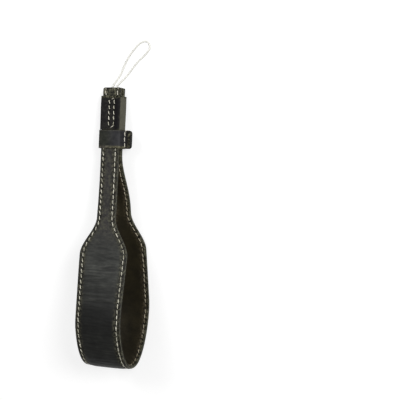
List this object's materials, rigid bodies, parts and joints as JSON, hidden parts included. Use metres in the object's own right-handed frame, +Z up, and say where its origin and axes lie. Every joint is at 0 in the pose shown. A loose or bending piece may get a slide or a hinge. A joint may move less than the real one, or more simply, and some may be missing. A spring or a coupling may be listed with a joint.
{
  "type": "camera hand grip strap",
  "caption": "Leather wrist strap for a camera: a wide two-ply loop on narrow legs, a stitched head sleeve, a sliding keeper and a thin cord loop.",
  "frame": {"origin": "middle of the leather's own box, on the table it lies on", "axes": "+X across the strap, +Y along it from the wrist loop to the head, +Z up out of the front band"},
  "size_m": [0.0485, 0.2423, 0.0536],
  "materials": {
    "strap_leather": "black leather, fine cross grain, slight sheen",
    "lining_leather": "smooth dark brown lining leather",
    "sleeve_leather": "matt black leather with raw edges",
    "stitching": "off-white waxed thread",
    "inside_stitching": "dull tan thread on the lining side",
    "cord": "off-white braided cord"
  },
  "bodies": {
    "root": {"strap_outer": "strap_leather", "strap_lining": "lining_leather", "head_sleeve": "sleeve_leather", "tether_cord": "cord"},
    "keeper": {"keeper": "sleeve_leather"}
  },
  "joints": [
    {"name": "keeper_slide", "type": "slide", "parent": "root", "child": "keeper", "axis": [0, -0.9781, 0.2079], "range_m": [0, 0.006]}
  ]
}
